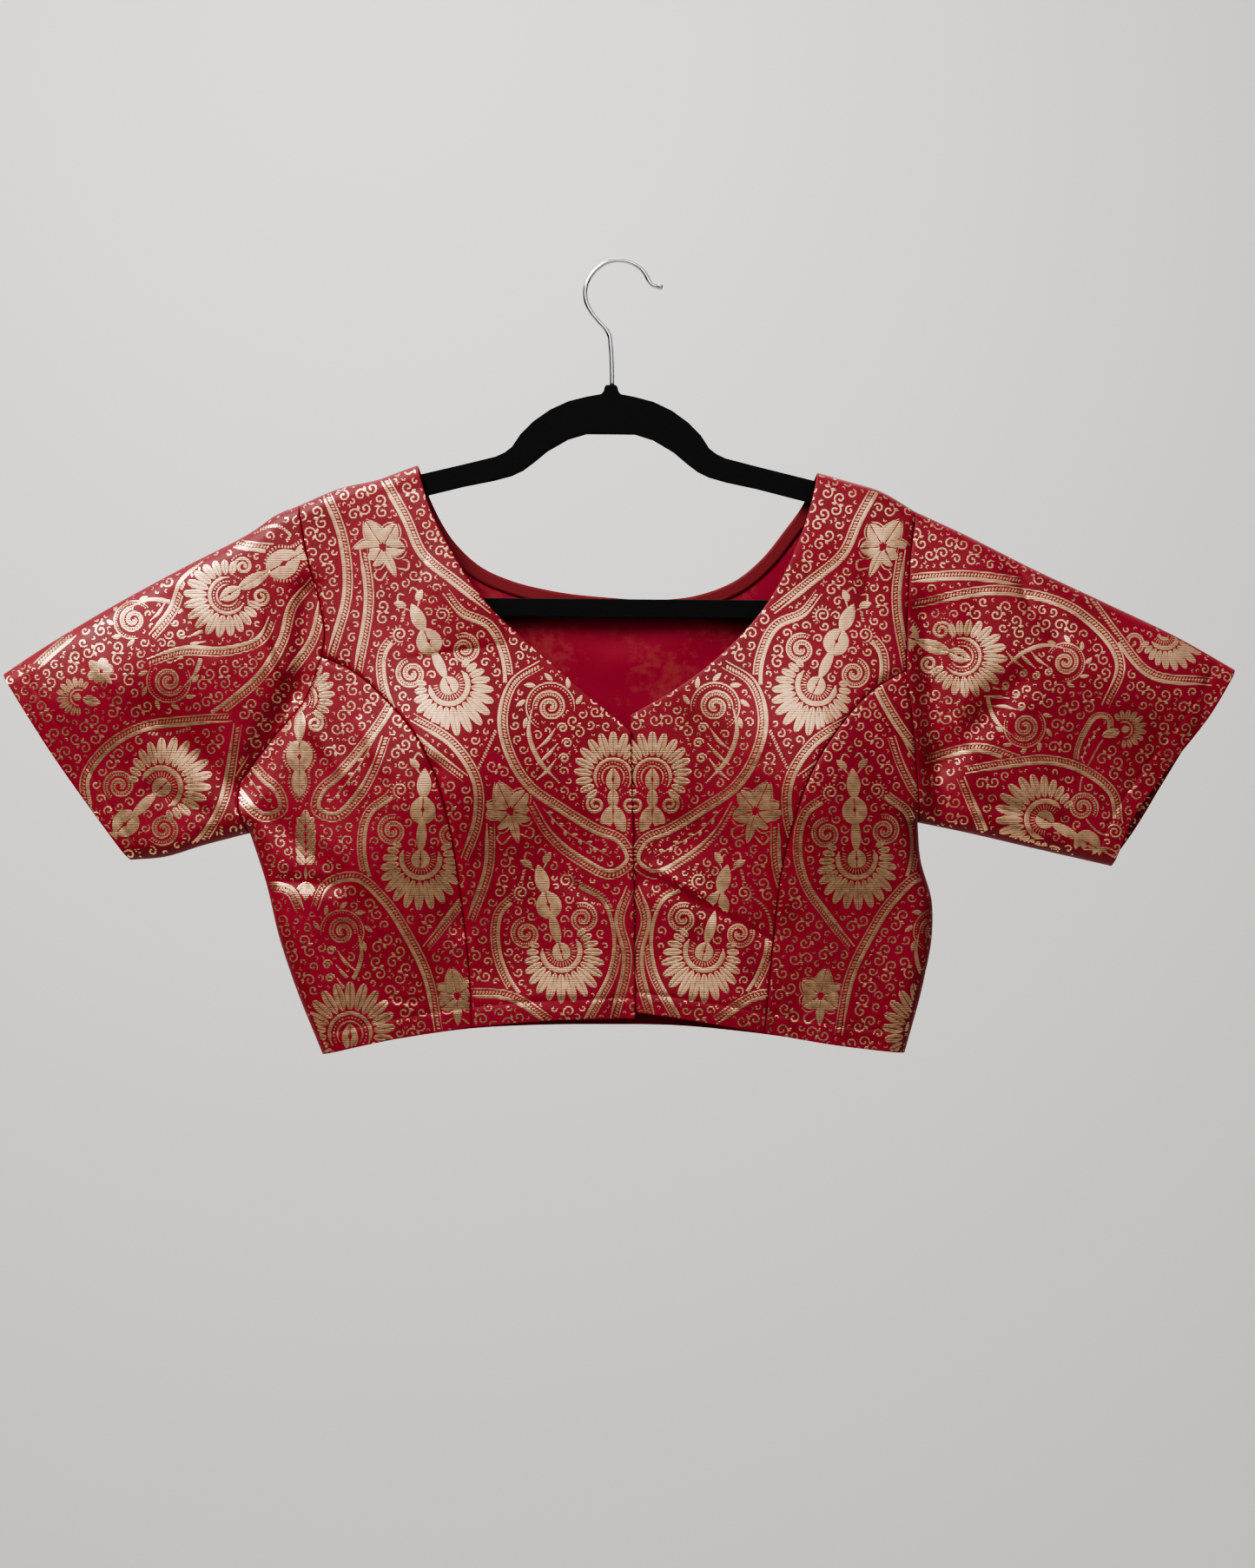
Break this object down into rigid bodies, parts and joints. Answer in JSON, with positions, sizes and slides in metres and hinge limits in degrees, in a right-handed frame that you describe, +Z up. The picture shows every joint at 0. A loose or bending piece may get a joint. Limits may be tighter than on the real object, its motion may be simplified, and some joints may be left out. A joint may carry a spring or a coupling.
{
  "type": "blouse on a hanger",
  "caption": "Short-sleeved brocade blouse with a V neck, princess seams and a scooped back, hanging flat on a slim velvet hanger with a wire hook",
  "frame": {"origin": "the inner top of the hook, where the hanger rests on what holds it", "axes": "+Z up, the blouse's front faces -Y, and +X is to the right of someone who looks at the front"},
  "size_m": [0.8106, 0.0369, 0.5245],
  "materials": {
    "cloth_front": "red satin figured with gold thread",
    "cloth_side": "red satin figured with gold thread",
    "cloth_sleeve": "red satin figured with gold thread",
    "cloth_back": "red satin figured with gold thread, dull on its wrong side",
    "cloth_facing": "plain dull red",
    "velvet": "black flocking on a stiff core",
    "chrome": "bright plated wire"
  },
  "bodies": {
    "root": {"centre_front_left": "cloth_front", "centre_front_right": "cloth_front", "side_front_left": "cloth_side", "side_front_right": "cloth_side", "back": "cloth_back", "back_neck_facing": "cloth_facing", "hook_strip": "cloth_facing", "sleeve_left": "cloth_sleeve", "sleeve_right": "cloth_sleeve", "hanger_body": "velvet", "hanger_hook": "chrome"}
  },
  "joints": []
}
